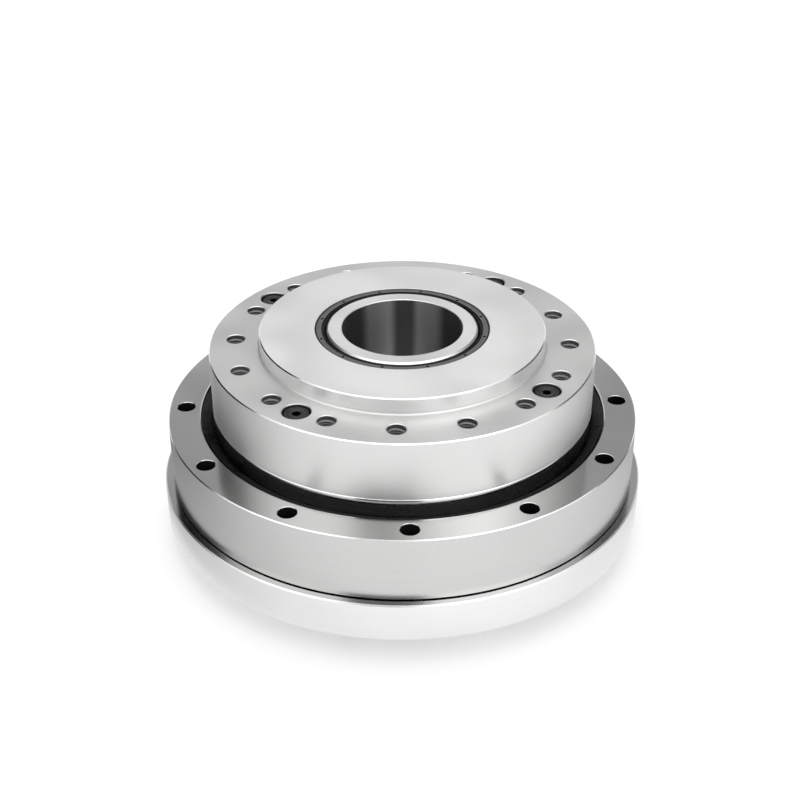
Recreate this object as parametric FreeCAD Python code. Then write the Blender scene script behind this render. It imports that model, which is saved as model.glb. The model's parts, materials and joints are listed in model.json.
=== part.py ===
import FreeCAD, Part
import math
import os

# Strain wave gear unit with a hollow input shaft and a crossed roller output bearing.
# The axis is Z, towards the output. The origin is on the axis, in the rear mounting face.
# Lengths are in millimetres and angles in degrees.
# Radii build up from the bore and the gear teeth outwards, and heights from the rear face up.

# Hollow input shaft
bore_d = 36.0
journal_wall = 4.5
shoulder_step = 1.0
shaft_tail = 7.0
shaft_edge = 0.5
bore_edge = 0.25
input_thread_drill_d = 2.5
input_thread_count = 6
input_thread_depth = 8.0

# Support bearings of the input shaft
support_section = 6.5
support_width = 7.0
support_ball_d = 4.0
support_ball_count = 20
support_ring_wall = 1.75
support_ring_edge = 0.3
rear_support_inset = 0.5
front_support_inset = 2.0

# Shaft seals
shaft_seal_section = 3.5
rear_seal_width = 4.0
front_seal_width = 4.6
front_seal_recess = 0.3
seal_lip_t = 0.8

# Gear teeth: the flexspline has two teeth fewer, and its wave is half their difference in modules
module = 0.8
flexspline_teeth = 100
spline_teeth = 102
addendum = 0.7
dedendum = 0.95
flank_angle = 28.6
backlash = 0.05

# Flexspline
flexspline_flange_t = 3.0
diaphragm_t = 0.8
diaphragm_span = 9.0
barrel_wall = 0.75
rim_wall = 1.0
rim_inset = 1.0
rim_width = 12.0

# Flexible bearing of the wave generator
flex_ring_wall = 1.6
flex_ring_width = 9.0
flex_ball_d = 7.14
flex_ball_count = 23
flex_groove_depth = 0.8
flex_groove_share = 0.52
cam_width = 10.0

# Circular spline
spline_width = 14.0
spline_wall = 8.44

# Output flange
output_rim = 7.5
output_edge = 0.4
output_seat_t = 13.5
output_web = 11.5
skirt_wall = 3.5
boss_inset = 7.5
boss_height = 5.0
boss_edge = 0.3
boss_fillet = 0.5
output_thread_count = 16
output_thread_drill_d = 4.2
output_thread_edge = 0.25
output_thread_depth = 11.0
output_clocking = -3.55

# Socket screws and dowels of the output side, midway between the output threads
output_screw_d = 4.0
output_screw_count = 4
output_screw_steps = -1.5
output_screw_grip = 7.1
output_screw_recess = 0.6
counterbore_d = 8.2
dowel_d = 5.0
dowel_count = 4
dowel_steps = 0.5
dowel_depth = 5.0

# Crossed roller bearing
roller_d = 6.0
roller_count = 48
roller_inset = 6.5
roller_end_gap = 0.1
bearing_split = 1.0
spacer_d = 4.4
spacer_t = 1.0
inner_ring_wall = 6.0
inner_ring_lift = 1.2

# Outer ring, its seal, and the bore through which its rollers are loaded
ring_t = 20.0
ring_wall = 9.6
ring_edge = 0.3
seal_section = 3.9
seal_depth = 6.5
seal_recess = 0.5
skirt_gap = 0.5
loading_plug_d = 8.0
loading_plug_steps = 3.5
loading_pin_d = 3.0

# Housing bolts, through ring, flexspline and cover
housing_hole_inset = 5.0
housing_hole_d = 5.5
housing_hole_count = 12
housing_hole_edge = 0.25

# Rear cover and its screws, midway between the housing bolts
cover_step = 2.5
cover_rim = 3.5
cover_floor_t = 9.0
cover_relief = 1.0
cover_edge = 0.4
hub_wall = 4.0
cover_screw_d = 3.0
cover_screw_count = 6
cover_screw_steps = 0.5
cover_screw_thread = 8.0

# O-rings, and how much wider than the ring its groove is
oring_d = 1.5
oring_room = 1.3
cover_oring_inset = 9.0
flange_oring_inset = 2.6

# Clearances
seat_gap = 0.01
race_gap = 0.02
thread_gap = 0.05
screw_hole_gap = 0.3
lip_gap = 0.1
spigot_gap = 0.25
cage_gap = 0.35

# Socket screws in shares of their thread's diameter: head, socket across flats, thread at its pitch diameter
screw_head_share = 1.8
socket_share = 0.8
thread_share = 0.88

# Spare depth of a tapped hole under its screw
thread_spare = 1.0

# Radii worked out from the sizes above
bore_r = bore_d / 2
journal_r = bore_r + journal_wall
shoulder_r = journal_r + shoulder_step
support_r = journal_r + support_section
shaft_seal_r = journal_r + shaft_seal_section
wave = module * (spline_teeth - flexspline_teeth) / 2
flex_pitch_r = module * flexspline_teeth / 2
spline_pitch_r = module * spline_teeth / 2
spline_root_r = spline_pitch_r + dedendum * module
rim_bore_r = flex_pitch_r - dedendum * module - rim_wall
neutral_r = rim_bore_r + rim_wall / 2
barrel_r = rim_bore_r + barrel_wall
flex_outer_r = rim_bore_r - race_gap
flex_race_r = flex_outer_r - flex_ring_wall
flex_ball_r = flex_race_r - race_gap - flex_ball_d / 2
flex_inner_race_r = flex_ball_r - flex_ball_d / 2 - race_gap
flex_bore_r = flex_inner_race_r - flex_ring_wall
cam_r = flex_bore_r - race_gap
output_pitch_r = spline_root_r + spline_wall
output_r = output_pitch_r + output_rim
boss_r = output_pitch_r - boss_inset
skirt_r = output_r - skirt_wall
roller_pitch_r = output_r - bearing_split / 2
inner_ring_bore_r = output_pitch_r - inner_ring_wall
raceway_reach = (roller_d / 2 + race_gap) * math.sqrt(2)
seal_seat_r = output_r + seal_section
ring_r = seal_seat_r + ring_wall
housing_pitch_r = ring_r - housing_hole_inset
cover_r = ring_r + cover_step
cover_recess_r = cover_r - cover_rim
flexspline_flange_r = cover_recess_r - spigot_gap
diaphragm_r = barrel_r + diaphragm_span

# Heights worked out from the sizes above
cover_t = cover_floor_t + flexspline_flange_t
cover_screw_seat = cover_screw_d + screw_hole_gap
rear_support_foot = rear_seal_width + rear_support_inset
rear_support_top = rear_support_foot + support_width
ring_top = cover_t + ring_t
seal_foot = ring_top - seal_depth
roller_height = seal_foot - roller_inset
inner_ring_foot = cover_t + inner_ring_lift
spline_foot = seal_foot + skirt_gap
spline_top = spline_foot + spline_width
rim_foot = spline_foot + rim_inset
rim_top = rim_foot + rim_width
rim_mid = rim_foot + rim_width / 2
output_face = spline_top + output_seat_t
web_foot = output_face - output_web
boss_top = output_face + boss_height
front_support_foot = web_foot + front_support_inset
front_support_top = front_support_foot + support_width
output_screw_seat = output_face - output_screw_recess - output_screw_d
output_screw_tip = spline_foot - output_screw_grip
dowel_foot = spline_foot - dowel_depth

# Angles of the hole patterns
housing_step = 360.0 / housing_hole_count
output_step = 360.0 / output_thread_count
cover_screw_first = cover_screw_steps * housing_step
loading_plug_angle = loading_plug_steps * housing_step
output_screw_first = output_clocking + output_screw_steps * output_step
dowel_first = output_clocking + dowel_steps * output_step

origin = FreeCAD.Vector(0, 0, 0)
up = FreeCAD.Vector(0, 0, 1)


def turned(corners):
    """Solid of revolution about Z from (radius, height) corners."""
    points = [FreeCAD.Vector(r, 0, z) for r, z in corners]
    outline = Part.makePolygon(points + points[:1])
    return Part.Face(outline).revolve(origin, up, 360)


def tube(inner_r, outer_r, foot, top):
    """Plain ring between two radii and two heights."""
    return turned([(inner_r, foot), (outer_r, foot), (outer_r, top), (inner_r, top)])


def rod(radius, foot, top, pitch_r=0.0):
    """Upright cylinder at a distance from the axis."""
    return Part.makeCylinder(radius, top - foot, FreeCAD.Vector(pitch_r, 0, foot), up)


def cone(foot_r, top_r, foot, top, pitch_r=0.0):
    """Upright cone, such as the chamfer of a hole."""
    return Part.makeCone(foot_r, top_r, top - foot, FreeCAD.Vector(pitch_r, 0, foot), up)


def about_axis(shape, angle):
    """Copy of a shape, turned about Z."""
    copy = shape.copy()
    copy.rotate(origin, up, angle)
    return copy


def raised(shape, height):
    """Copy of a shape, moved up."""
    copy = shape.copy()
    copy.translate(up * height)
    return copy


def ring_of(shape, count, first=0.0):
    """Equal copies of a shape round Z, as separate solids."""
    copies = [about_axis(shape, first + 360.0 * k / count) for k in range(count)]
    return Part.makeCompound(copies)


def round_edges(solid, radius, height):
    """Circular edges of a solid that lie at a radius and a height."""
    found = []
    for edge in solid.Edges:
        if isinstance(edge.Curve, Part.Circle):
            off_radius = abs(edge.Curve.Radius - radius)
            off_height = abs(edge.BoundBox.ZMax - height) + abs(edge.BoundBox.ZMin - height)
            if off_radius + off_height < 0.001:
                found.append(edge)
    return found


def hexagon(across_flats, foot, top, pitch_r):
    """Upright hexagonal prism, for a screw's socket."""
    corner_r = across_flats / math.sqrt(3)
    points = []
    for k in range(7):
        turn = math.radians(60 * k)
        points.append(FreeCAD.Vector(pitch_r + corner_r * math.cos(turn), corner_r * math.sin(turn), foot))
    return Part.Face(Part.makePolygon(points)).extrude(up * (top - foot))


def socket_screw(size, seat, thread_start, tip, pitch_r):
    """Socket head screw whose head lies on its seat, with its thread from thread_start to its tip."""
    way = 1 if seat > tip else -1
    head_top = seat + way * size
    socket_floor = head_top - way * size / 2
    head = rod(screw_head_share * size / 2, min(seat, head_top), max(seat, head_top), pitch_r)
    shank = rod(size / 2, min(seat, thread_start), max(seat, thread_start), pitch_r)
    thread_r = thread_share * size / 2
    thread = rod(thread_r, min(thread_start, tip), max(thread_start, tip), pitch_r)
    socket = hexagon(socket_share * size, min(socket_floor, head_top), max(socket_floor, head_top), pitch_r)
    return head.fuse([shank, thread]).removeSplitter().cut(socket)


def tapped_r(size):
    """Radius of the hole that takes a screw's thread."""
    return thread_share * size / 2 + thread_gap


def wave_curve(mean_r, height, amplitude):
    """Closed curve whose radius rises and falls twice in a turn, or a circle if the wave has no height."""
    if amplitude == 0:
        return Part.Circle(up * height, up, mean_r).toShape()
    count = 48
    turns = [2 * math.pi * k / count for k in range(count + 1)]
    points = []
    for turn in turns[:-1]:
        r = mean_r + amplitude * math.cos(2 * turn)
        points.append(FreeCAD.Vector(r * math.cos(turn), r * math.sin(turn), height))
    curve = Part.BSplineCurve()
    curve.interpolate(Points=points, PeriodicFlag=True, Parameters=turns)
    return curve.toShape()


def wave_band(start, end):
    """Surface between two (radius, height, wave height) corners, turned where neither has a wave."""
    if start[2] == 0 and end[2] == 0:
        points = [FreeCAD.Vector(r, 0, z) for r, z, amplitude in (start, end)]
        return Part.makeLine(points[0], points[1]).revolve(origin, up, 360)
    return Part.makeRuledSurface(wave_curve(*start), wave_curve(*end))


def sewn(faces):
    """Solid that is bounded by faces which meet at their edges."""
    shell = Part.Shell(faces)
    shell.sewShape()
    solid = Part.Solid(shell)
    if solid.Volume < 0:
        solid.reverse()
    return solid


def wave_turned(corners):
    """Solid like a turned one, from (radius, height, wave height) corners."""
    return sewn([wave_band(corners[k - 1], corners[k]) for k in range(len(corners))])


def wave_ring(inner_r, outer_r, foot, top):
    """Ring of even wall that follows the wave."""
    corners = [(inner_r, foot), (outer_r, foot), (outer_r, top), (inner_r, top)]
    return wave_turned([(r, z, wave) for r, z in corners])


def at_housing_bolts(tool):
    """A tool at each of the housing bolts."""
    return ring_of(tool, housing_hole_count)


def at_cover_screws(tool):
    """A tool at each of the cover's screws."""
    return ring_of(tool, cover_screw_count, cover_screw_first)


def at_output_screws(tool):
    """A tool at each socket screw of the output side."""
    return ring_of(tool, output_screw_count, output_screw_first)


def housing_holes(foot, top):
    """Through holes for the housing bolts and for the cover's screws."""
    bolt = rod(housing_hole_d / 2, foot, top, housing_pitch_r)
    screw = rod(cover_screw_d / 2 + screw_hole_gap, foot, top, housing_pitch_r)
    return Part.makeCompound([at_housing_bolts(bolt), at_cover_screws(screw)])


def output_screw_holes(foot, top, hole_r):
    """Holes for the output side's screws, between two heights."""
    return at_output_screws(rod(hole_r, foot, top, output_pitch_r))


def dowels(foot, top, gap):
    """Reamed holes for the output side's dowels, or the dowels themselves where the gap is zero."""
    dowel = rod(dowel_d / 2 + gap, foot, top, output_pitch_r)
    return ring_of(dowel, dowel_count, dowel_first)


def oring(pitch_r, height):
    """O-ring about the axis, its section's centre at a radius and a height."""
    return Part.makeTorus(pitch_r, oring_d / 2, up * height, up)


def oring_groove(pitch_r, foot):
    """Rectangular groove for an O-ring, as deep as the ring and wider."""
    half = oring_room * oring_d / 2
    return tube(pitch_r - half, pitch_r + half, foot, foot + oring_d)


def rear_cover():
    """Disc with a spigot recess for the flexspline, a hub for the rear bearing and a seal bore."""
    seat_r = support_r + seat_gap
    hub_r = seat_r + hub_wall
    relief_floor = cover_floor_t - cover_relief
    seal_r = shaft_seal_r + seat_gap
    body = turned([
        (seal_r, 0),
        (cover_r - cover_edge, 0),
        (cover_r, cover_edge),
        (cover_r, cover_t - cover_edge),
        (cover_r - cover_edge, cover_t),
        (cover_recess_r, cover_t),
        (cover_recess_r, cover_floor_t),
        (diaphragm_r, cover_floor_t),
        (diaphragm_r, relief_floor),
        (hub_r, relief_floor),
        (hub_r, rear_support_top),
        (seat_r, rear_support_top),
        (seat_r, rear_support_foot),
        (seal_r, rear_support_foot),
    ])
    body = body.cut(oring_groove(diaphragm_r + cover_oring_inset, cover_floor_t - oring_d))
    head_r = screw_head_share * cover_screw_d / 2 + screw_hole_gap
    pocket = rod(head_r, 0, cover_screw_seat, housing_pitch_r)
    body = body.cut(housing_holes(0, cover_t))
    return body.cut(at_cover_screws(pocket))


def cover_screws():
    """Socket screws from the rear, into the outer ring."""
    tip = cover_t + cover_screw_thread
    screw = socket_screw(cover_screw_d, cover_screw_seat, cover_t, tip, housing_pitch_r)
    return at_cover_screws(screw)


def outer_ring_blank():
    """Outer ring with its raceway and seal seat, before any hole."""
    half = raceway_reach - bearing_split / 2
    return turned([
        (output_r, cover_t),
        (ring_r - ring_edge, cover_t),
        (ring_r, cover_t + ring_edge),
        (ring_r, ring_top - ring_edge),
        (ring_r - ring_edge, ring_top),
        (seal_seat_r + ring_edge, ring_top),
        (seal_seat_r, ring_top - ring_edge),
        (seal_seat_r, seal_foot),
        (output_r, seal_foot),
        (output_r, roller_height + half),
        (roller_pitch_r + raceway_reach, roller_height),
        (output_r, roller_height - half),
    ])


def loading_bore(gap):
    """Radial bore through which the rollers are loaded, or the plug's blank."""
    start = FreeCAD.Vector(roller_pitch_r - bearing_split, 0, roller_height)
    cylinder = Part.makeCylinder(loading_plug_d / 2 + gap, ring_r, start, FreeCAD.Vector(1, 0, 0))
    return about_axis(cylinder, loading_plug_angle)


def loading_pin(gap):
    """Dowel pin across the loading plug, or its hole."""
    top = roller_height + loading_plug_d / 2
    pin = rod(loading_pin_d / 2 + gap, cover_t, top + gap, housing_pitch_r)
    return about_axis(pin, loading_plug_angle)


def bearing_outer_ring():
    """Outer ring with through holes for the housing bolts and tapped holes for the cover's screws."""
    hole_r = housing_hole_d / 2
    hole = rod(hole_r, cover_t, ring_top, housing_pitch_r)
    mouth_foot = ring_top - housing_hole_edge
    mouth = cone(hole_r, hole_r + housing_hole_edge, mouth_foot, ring_top, housing_pitch_r)
    thread_floor = cover_t + cover_screw_thread + thread_spare
    tapped = rod(tapped_r(cover_screw_d), cover_t, thread_floor, housing_pitch_r)
    ring = outer_ring_blank().cut(at_housing_bolts(hole))
    ring = ring.cut(at_housing_bolts(mouth))
    ring = ring.cut(at_cover_screws(tapped))
    ring = ring.cut(loading_bore(seat_gap))
    return ring.cut(loading_pin(seat_gap))


def loading_plug():
    """Plug that closes the loading bore and carries its share of the raceway."""
    plug = outer_ring_blank().common(loading_bore(0))
    return plug.cut(loading_pin(seat_gap))


def bearing_inner_ring():
    """Inner ring of the crossed roller bearing, tapped for the output side's screws."""
    land_r = output_r - bearing_split
    half = raceway_reach - bearing_split / 2
    ring = turned([
        (inner_ring_bore_r, inner_ring_foot),
        (land_r, inner_ring_foot),
        (land_r, roller_height - half),
        (roller_pitch_r - raceway_reach, roller_height),
        (land_r, roller_height + half),
        (land_r, spline_foot),
        (inner_ring_bore_r, spline_foot),
    ])
    thread_floor = output_screw_tip - thread_spare
    ring = ring.cut(output_screw_holes(thread_floor, spline_foot, tapped_r(output_screw_d)))
    return ring.cut(dowels(dowel_foot, spline_foot, seat_gap))


def crossed_rollers():
    """Rollers whose axes lie at 45 degrees to the gear's, each one crossed to the next."""
    length = roller_d - 2 * roller_end_gap
    centre = FreeCAD.Vector(roller_pitch_r, 0, roller_height)
    rollers = []
    for k in range(roller_count):
        lean = 1 if k % 2 == 0 else -1
        way = FreeCAD.Vector(1, 0, lean).normalize()
        roller = Part.makeCylinder(roller_d / 2, length, centre - way * (length / 2), way)
        rollers.append(about_axis(roller, 360.0 * k / roller_count))
    return Part.makeCompound(rollers)


def roller_spacers():
    """Discs that keep each crossed roller off the next."""
    start = FreeCAD.Vector(roller_pitch_r, -spacer_t / 2, roller_height)
    disc = Part.makeCylinder(spacer_d / 2, spacer_t, start, FreeCAD.Vector(0, 1, 0))
    return ring_of(disc, roller_count, 180.0 / roller_count)


def output_seal():
    """Rubber seal between outer ring and output flange, with a groove inside its rim and an oblique lip."""
    rim_r = seal_seat_r - seat_gap
    lip_r = output_r + lip_gap
    web_r = lip_r + seal_lip_t
    face = ring_top - seal_recess
    groove_r = rim_r - seal_section / 5
    return turned([
        (web_r, seal_foot),
        (rim_r, seal_foot),
        (rim_r, face - seal_lip_t),
        (groove_r + seal_lip_t / 2, face - seal_lip_t),
        (groove_r, face - 3 * seal_lip_t),
        (groove_r - seal_lip_t, face),
        (web_r, face),
        (lip_r, face - seal_lip_t),
        (web_r, face - 3 * seal_lip_t),
    ])


def output_flange():
    """Output flange with its boss, the seats of the front bearing and seal, and a skirt round the spline."""
    seal_r = shaft_seal_r + seat_gap
    seat_r = support_r + seat_gap
    hub_r = spline_root_r + module
    body = turned([
        (seal_r, front_support_top),
        (seat_r, front_support_top),
        (seat_r, web_foot),
        (hub_r, web_foot),
        (hub_r, spline_top),
        (skirt_r, spline_top),
        (skirt_r, spline_foot),
        (output_r, spline_foot),
        (output_r, output_face - output_edge),
        (output_r - output_edge, output_face),
        (boss_r, output_face),
        (boss_r, boss_top - boss_edge),
        (boss_r - boss_edge, boss_top),
        (seal_r + boss_edge, boss_top),
        (seal_r, boss_top - boss_edge),
    ])
    body = body.makeFillet(boss_fillet, round_edges(body, boss_r, output_face))
    body = body.cut(oring_groove(spline_root_r + flange_oring_inset, spline_top))
    body = body.cut(ring_of(output_thread(), output_thread_count, output_clocking))
    pocket = rod(counterbore_d / 2, output_screw_seat, output_face, output_pitch_r)
    body = body.cut(at_output_screws(pocket))
    screw_r = output_screw_d / 2 + screw_hole_gap
    body = body.cut(output_screw_holes(spline_top, output_screw_seat, screw_r))
    return body.cut(dowels(spline_top, spline_top + dowel_depth, seat_gap))


def output_thread():
    """Tapped blind hole in the output face, with the drill's point and a countersunk mouth."""
    drill_r = output_thread_drill_d / 2
    floor = output_face - output_thread_depth
    mouth_foot = output_face - output_thread_edge
    drill = rod(drill_r, floor, output_face, output_pitch_r)
    point = cone(0, drill_r, floor - drill_r / 2, floor, output_pitch_r)
    mouth = cone(drill_r, drill_r + output_thread_edge, mouth_foot, output_face, output_pitch_r)
    return drill.fuse([point, mouth])


def output_screws():
    """Socket screws that clamp flange, circular spline and inner ring together."""
    tip = output_screw_tip
    screw = socket_screw(output_screw_d, output_screw_seat, spline_foot, tip, output_pitch_r)
    return at_output_screws(screw)


def tooth_corners(half_thickness, root, tip):
    """Corners of one tooth as (offset along the pitch line, height over it), root first."""
    slope = math.tan(math.radians(flank_angle))
    half_root = half_thickness - root * slope
    half_tip = half_thickness - tip * slope
    return [(-half_root, root), (-half_tip, tip), (half_tip, tip), (half_root, root)]


def circular_spline():
    """Ring with internal teeth, two more than the flexspline has."""
    tooth_half = math.pi * module / 4 - backlash / 2
    space_half = math.pi * module / 2 - tooth_half
    corners = tooth_corners(space_half, -addendum * module, dedendum * module)
    points = []
    for k in range(spline_teeth):
        turn = 2 * math.pi * k / spline_teeth
        for along, height in corners:
            r = spline_pitch_r + height
            x = r * math.cos(turn) - along * math.sin(turn)
            y = r * math.sin(turn) + along * math.cos(turn)
            points.append(FreeCAD.Vector(x, y, spline_foot))
    bore = Part.Face(Part.makePolygon(points + points[:1])).extrude(up * spline_width)
    ring = rod(skirt_r - seat_gap, spline_foot, spline_top).cut(bore)
    ring = ring.cut(output_screw_holes(spline_foot, spline_top, output_screw_d / 2 + screw_hole_gap))
    return ring.cut(dowels(spline_foot, spline_top, seat_gap))


def flexspline_outline():
    """Outline of the flexspline's teeth, each one carried and turned by the wave of the rim."""
    tooth_half = math.pi * module / 4 - backlash / 2
    corners = tooth_corners(tooth_half, -dedendum * module, addendum * module)
    points = []
    for k in range(flexspline_teeth):
        turn = 2 * math.pi * k / flexspline_teeth
        place = turn - wave / 2 * math.sin(2 * turn) / neutral_r
        normal = turn + 1.5 * wave * math.sin(2 * turn) / neutral_r
        middle_r = neutral_r + wave * math.cos(2 * turn)
        for along, height in corners:
            out = flex_pitch_r - neutral_r + height
            x = middle_r * math.cos(place) + out * math.cos(normal) - along * math.sin(normal)
            y = middle_r * math.sin(place) + out * math.sin(normal) + along * math.cos(normal)
            points.append(FreeCAD.Vector(x, y, rim_foot))
    return Part.makePolygon(points + points[:1])


def face_between(outline, hole):
    """Flat face inside an outline, round a hole."""
    return Part.makeFace([Part.Wire(outline), Part.Wire(hole)], "Part::FaceMakerBullseye")


def flexspline():
    """Thin steel cup with a flange: the flange is clamped, the toothed rim takes the cam's wave."""
    diaphragm_top = cover_floor_t + diaphragm_t
    cup = [
        (barrel_r, rim_foot, wave),
        (barrel_r, diaphragm_top + diaphragm_t, 0),
        (barrel_r + diaphragm_t, diaphragm_top, 0),
        (diaphragm_r - 2 * diaphragm_t, diaphragm_top, 0),
        (diaphragm_r, cover_t, 0),
        (flexspline_flange_r, cover_t, 0),
        (flexspline_flange_r, cover_floor_t, 0),
        (rim_bore_r + diaphragm_t, cover_floor_t, 0),
        (rim_bore_r, diaphragm_top, 0),
        (rim_bore_r, rim_foot, wave),
        (rim_bore_r, rim_top, wave),
    ]
    faces = [wave_band(cup[k], cup[k + 1]) for k in range(len(cup) - 1)]
    outline = flexspline_outline()
    faces += outline.extrude(up * rim_width).Faces
    faces.append(face_between(outline, wave_curve(*cup[0])))
    faces.append(face_between(raised(outline, rim_width), wave_curve(*cup[-1])))
    return sewn(faces).cut(housing_holes(cover_floor_t, cover_t))


def hollow_shaft():
    """Hollow input shaft with the wave generator's cam between its two bearing journals."""
    shaft = turned([
        (bore_r, bore_edge - shaft_tail),
        (bore_r + bore_edge, -shaft_tail),
        (journal_r - shaft_edge, -shaft_tail),
        (journal_r, shaft_edge - shaft_tail),
        (journal_r, rear_support_top),
        (shoulder_r, rear_support_top),
        (shoulder_r, front_support_foot),
        (journal_r, front_support_foot),
        (journal_r, boss_top - shaft_edge),
        (journal_r - shaft_edge, boss_top),
        (bore_r + bore_edge, boss_top),
        (bore_r, boss_top - bore_edge),
    ])
    inside_r = (bore_r + journal_r) / 2
    cam_foot = rim_mid - cam_width / 2
    cam = wave_turned([
        (inside_r, cam_foot, 0),
        (cam_r, cam_foot, wave),
        (cam_r, cam_foot + cam_width, wave),
        (inside_r, cam_foot + cam_width, 0),
    ])
    thread = rod(input_thread_drill_d / 2, -shaft_tail, input_thread_depth - shaft_tail, inside_r)
    return shaft.fuse(cam).cut(ring_of(thread, input_thread_count))


def flex_bearing_ring(race_r, back_r, side):
    """Thin ring of the flexible bearing: it follows the wave, with a ball groove on one side."""
    foot = rim_mid - flex_ring_width / 2
    top = foot + flex_ring_width
    shoulder = race_r - side * flex_groove_depth
    groove_r = flex_groove_share * flex_ball_d
    reach = math.acos(1 - flex_groove_depth / groove_r)
    steps = 8
    tangent_r = groove_r / math.cos(reach / steps)
    middle_r = race_r - side * groove_r
    corners = [(back_r, top), (back_r, foot), (shoulder, foot)]
    for k in range(steps + 1):
        turn = -reach + 2 * reach * k / steps
        corners.append((middle_r + side * tangent_r * math.cos(turn), rim_mid + tangent_r * math.sin(turn)))
    corners.append((shoulder, top))
    return wave_turned([(r, z, wave) for r, z in corners])


def flex_bearing_balls(diameter):
    """Balls on the wave, halfway between the two flexible rings."""
    balls = []
    for k in range(flex_ball_count):
        turn = 2 * math.pi * k / flex_ball_count
        r = flex_ball_r + wave * math.cos(2 * turn)
        centre = FreeCAD.Vector(r * math.cos(turn), r * math.sin(turn), rim_mid)
        balls.append(Part.makeSphere(diameter / 2, centre))
    return Part.makeCompound(balls)


def flex_bearing_cage():
    """Comb cage that keeps the balls of the flexible bearing apart, open towards the output."""
    inner_r = flex_inner_race_r + flex_groove_depth + cage_gap
    outer_r = flex_race_r - flex_groove_depth - cage_gap
    foot = rim_mid - flex_ring_width / 2 + cage_gap
    blank = wave_ring(inner_r, outer_r, foot, rim_mid + flex_ball_d / 4)
    return blank.cut(flex_bearing_balls(flex_ball_d + cage_gap))


def support_bearing():
    """Deep groove ball bearing on the ground plane: outer ring, inner ring, balls and cage."""
    middle = support_width / 2
    inner_r = journal_r + seat_gap
    pitch_r = (support_r + inner_r) / 2
    edge = support_ring_edge
    groove = Part.makeTorus(pitch_r, support_ball_d / 2 + race_gap, up * middle, up)
    outer = turned([
        (support_r - support_ring_wall, 0),
        (support_r - edge, 0),
        (support_r, edge),
        (support_r, support_width - edge),
        (support_r - edge, support_width),
        (support_r - support_ring_wall, support_width),
    ])
    inner = turned([
        (inner_r + support_ring_wall, 0),
        (inner_r + edge, 0),
        (inner_r, edge),
        (inner_r, support_width - edge),
        (inner_r + edge, support_width),
        (inner_r + support_ring_wall, support_width),
    ])
    ball = Part.makeSphere(support_ball_d / 2, FreeCAD.Vector(pitch_r, 0, middle))
    pocket = Part.makeSphere((support_ball_d + cage_gap) / 2, FreeCAD.Vector(pitch_r, 0, middle))
    cage_half = (support_r - inner_r) / 2 - support_ring_wall - cage_gap
    cage = tube(pitch_r - cage_half, pitch_r + cage_half, cage_gap, middle + support_ball_d / 4)
    cage = cage.cut(ring_of(pocket, support_ball_count))
    return {
        "bearing_outer_ring": outer.cut(groove),
        "bearing_inner_ring": inner.cut(groove),
        "bearing_balls": ring_of(ball, support_ball_count),
        "bearing_cage": cage,
    }


def shaft_seal(inside, face):
    """Lip seal round the input shaft, between its inner end and its face on the outside."""
    way = 1 if face > inside else -1
    rim_r = shaft_seal_r
    lip_r = journal_r + lip_gap
    body_r = lip_r + 1.25 * seal_lip_t
    return turned([
        (body_r, inside),
        (rim_r, inside),
        (rim_r, face),
        (body_r, face),
        (body_r, face - way * seal_lip_t),
        (lip_r, face - 2 * way * seal_lip_t),
        (body_r, face - 3 * way * seal_lip_t),
    ])


def write(name, shape):
    """Save one sub-part."""
    shape.exportStep("parts/" + name + ".step")


def main():
    os.makedirs("parts", exist_ok=True)
    write("rear_cover", rear_cover())
    write("cover_screws", cover_screws())
    write("cover_oring", oring(diaphragm_r + cover_oring_inset, cover_floor_t - oring_d / 2))
    write("bearing_outer_ring", bearing_outer_ring())
    write("loading_plug", loading_plug())
    write("loading_plug_pin", loading_pin(0))
    write("crossed_rollers", crossed_rollers())
    write("roller_spacers", roller_spacers())
    write("bearing_inner_ring", bearing_inner_ring())
    write("output_seal", output_seal())
    write("output_flange", output_flange())
    write("output_oring", oring(spline_root_r + flange_oring_inset, spline_top + oring_d / 2))
    write("output_screws", output_screws())
    write("output_dowels", dowels(dowel_foot, spline_top + dowel_depth, 0))
    write("circular_spline", circular_spline())
    write("flexspline", flexspline())
    write("hollow_shaft", hollow_shaft())
    write("flex_bearing_outer_ring", flex_bearing_ring(flex_race_r, flex_outer_r, 1))
    write("flex_bearing_inner_ring", flex_bearing_ring(flex_inner_race_r, flex_bore_r, -1))
    write("flex_bearing_balls", flex_bearing_balls(flex_ball_d))
    write("flex_bearing_cage", flex_bearing_cage())
    for name, shape in support_bearing().items():
        write("rear_" + name, raised(shape, rear_support_foot))
        write("front_" + name, raised(shape, front_support_foot))
    write("rear_shaft_seal", shaft_seal(rear_seal_width, 0))
    front_face = boss_top - front_seal_recess
    write("front_shaft_seal", shaft_seal(front_face - front_seal_width, front_face))


main()
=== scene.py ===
"""Looks of a strain wave gear unit with a hollow input shaft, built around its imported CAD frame.

The axis is Z, towards the output. A piece is built in millimetres and degrees, and finished() scales it
to metres. Camera, lamps, cards and material scales are in metres.
"""
import json
import math

import bmesh
import bpy
from mathutils import Matrix, Vector


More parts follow.
